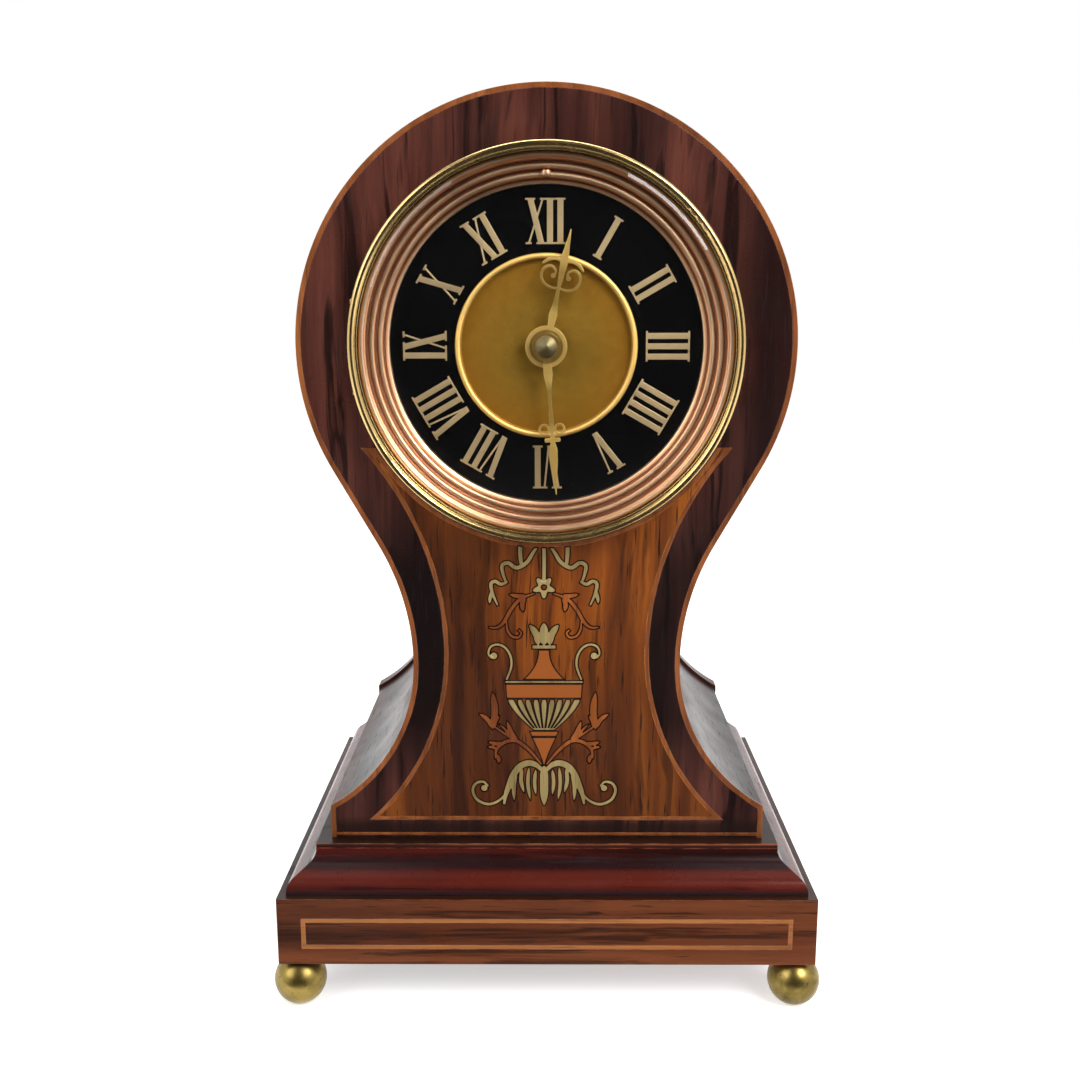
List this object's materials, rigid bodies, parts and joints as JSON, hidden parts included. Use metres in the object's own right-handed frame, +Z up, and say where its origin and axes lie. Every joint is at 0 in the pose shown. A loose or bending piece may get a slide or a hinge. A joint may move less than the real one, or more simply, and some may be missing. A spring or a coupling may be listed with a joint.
{
  "type": "balloon mantel clock",
  "caption": "Balloon-shaped inlaid rosewood mantel clock on a moulded base with brass ball feet, with hinged glazed bezel, key-wound drum movement and back door.",
  "frame": {"origin": "centre of the bounding box at the underside of the feet", "axes": "+Z up; +Y from the dial towards the back of the clock; +X to the right as seen from the front"},
  "size_m": [0.1756, 0.1516, 0.2848],
  "materials": {
    "rosewood": "satin",
    "panel_rosewood": "satin",
    "mahogany": "gloss",
    "oak": "matte",
    "stringing": "satin",
    "satinwood_inlay": "satin",
    "orange_inlay": "satin",
    "brass": "polished",
    "gilt_brass": "satin",
    "copper_brass": "polished",
    "black_dial": "gloss",
    "steel": "satin",
    "blued_steel": "gloss",
    "clear_glass": "clear"
  },
  "bodies": {
    "case": {"base_block": "rosewood", "base_stringing": "stringing", "base_moulding": "mahogany", "step_board": "stringing", "ball_feet": "brass", "front_board": "oak", "case_sides": "mahogany", "back_board": "mahogany", "front_veneer": "rosewood", "edge_banding": "rosewood", "waist_panel": "panel_rosewood", "waist_stringing": "stringing", "marquetry_ribbons": "satinwood_inlay", "marquetry_branches": "orange_inlay", "marquetry_urn": "satinwood_inlay", "marquetry_acanthus": "satinwood_inlay", "mounting_ring": "brass", "sight_ring": "copper_brass", "dial_plate": "black_dial", "dial_numerals": "gilt_brass", "dial_centre": "gilt_brass", "bezel_hinge_pin": "brass", "door_ring": "brass", "door_hinge_pin": "brass", "drum": "brass", "drum_cover": "brass", "drum_brackets": "brass", "small_screws": "steel", "front_plate": "brass", "back_plate": "brass", "plate_pillars": "brass", "click_spring": "steel", "balance_cock": "brass"},
    "bezel": {"bezel_ring": "brass", "bezel_glass": "clear_glass", "bezel_catch": "brass"},
    "back_door": {"back_door": "mahogany", "door_knob": "brass"},
    "hands": {"minute_hand": "gilt_brass", "hand_nut": "steel", "centre_arbor": "steel", "cannon_pinion": "brass", "setting_knob": "brass"},
    "hour_pipe": {"hour_hand": "gilt_brass", "hour_wheel": "brass"},
    "minute_wheel": {"minute_wheel": "brass"},
    "barrel": {"barrel": "brass", "mainspring": "blued_steel"},
    "winding": {"winding_arbor": "steel", "ratchet_wheel": "steel", "winding_key": "brass"},
    "click": {"click": "steel"},
    "intermediate": {"intermediate_wheel": "brass"},
    "centre_wheel": {"centre_wheel": "brass"},
    "third": {"third_wheel": "brass"},
    "fourth": {"fourth_wheel": "brass"},
    "escape": {"escape_wheel": "brass"},
    "lever": {"lever": "steel"},
    "balance": {"balance_wheel": "brass"},
    "regulator": {"regulator": "steel"}
  },
  "joints": [
    {"name": "bezel_hinge", "type": "hinge", "parent": "case", "child": "bezel", "pos_m": [-0.0568, -0.06, 0.2088], "axis": [0, 0, -1], "range_deg": [0, 90]},
    {"name": "back_door_hinge", "type": "hinge", "parent": "case", "child": "back_door", "pos_m": [0.0538, 0.07025, 0.2088], "axis": [0, 0, -1], "range_deg": [0, 105]},
    {"name": "hand_setting", "type": "hinge", "parent": "case", "child": "hands", "pos_m": [0, -0.0183, 0.2088], "axis": [0, 1, 0], "continuous": true},
    {"name": "hour_motion", "type": "hinge", "parent": "case", "child": "hour_pipe", "pos_m": [0, -0.0183, 0.2088], "axis": [0, 1, 0], "continuous": true},
    {"name": "minute_wheel_turn", "type": "hinge", "parent": "case", "child": "minute_wheel", "pos_m": [0.0144, -0.0183, 0.2088], "axis": [0, 1, 0], "continuous": true},
    {"name": "third_turn", "type": "hinge", "parent": "case", "child": "third", "pos_m": [0.009, -0.0183, 0.22439], "axis": [0, 1, 0], "continuous": true},
    {"name": "centre_turn", "type": "hinge", "parent": "case", "child": "centre_wheel", "pos_m": [0, -0.0183, 0.2088], "axis": [0, 1, 0], "continuous": true},
    {"name": "fourth_turn", "type": "hinge", "parent": "case", "child": "fourth", "pos_m": [-0.00607, -0.0183, 0.22705], "axis": [0, 1, 0], "continuous": true},
    {"name": "escape_turn", "type": "hinge", "parent": "case", "child": "escape", "pos_m": [0, -0.0183, 0.23777], "axis": [0, 1, 0], "continuous": true},
    {"name": "intermediate_turn", "type": "hinge", "parent": "case", "child": "intermediate", "pos_m": [-0.01652, -0.0183, 0.20165], "axis": [0, 1, 0], "continuous": true},
    {"name": "barrel_turn", "type": "hinge", "parent": "case", "child": "barrel", "pos_m": [0, -0.0183, 0.187], "axis": [0, 1, 0], "continuous": true},
    {"name": "winding", "type": "hinge", "parent": "case", "child": "winding", "pos_m": [0, -0.0183, 0.187], "axis": [0, -1, 0], "range_deg": [0, 2080]},
    {"name": "click_lift", "type": "hinge", "parent": "case", "child": "click", "pos_m": [0.00873, -0.0183, 0.19433], "axis": [0, 1, 0], "range_deg": [0, 12]},
    {"name": "balance_swing", "type": "hinge", "parent": "case", "child": "balance", "pos_m": [0.00919, -0.0183, 0.23005], "axis": [0, 1, 0], "range_deg": [-150, 150]},
    {"name": "lever_rock", "type": "hinge", "parent": "case", "child": "lever", "pos_m": [0.00429, -0.0183, 0.23417], "axis": [0, 1, 0], "range_deg": [-4, 4]},
    {"name": "regulator_turn", "type": "hinge", "parent": "case", "child": "regulator", "pos_m": [0.00919, -0.0183, 0.23005], "axis": [0, 1, 0], "range_deg": [-18, 18]}
  ],
  "couplings": [
    {"joint": "hour_motion", "follows": "hand_setting", "ratio": 0.083333},
    {"joint": "minute_wheel_turn", "follows": "hand_setting", "ratio": -0.33333},
    {"joint": "centre_turn", "follows": "third_turn", "ratio": -0.125},
    {"joint": "fourth_turn", "follows": "third_turn", "ratio": -7.5},
    {"joint": "escape_turn", "follows": "third_turn", "ratio": 75},
    {"joint": "intermediate_turn", "follows": "third_turn", "ratio": 0.025},
    {"joint": "barrel_turn", "follows": "third_turn", "ratio": -0.00375}
  ]
}
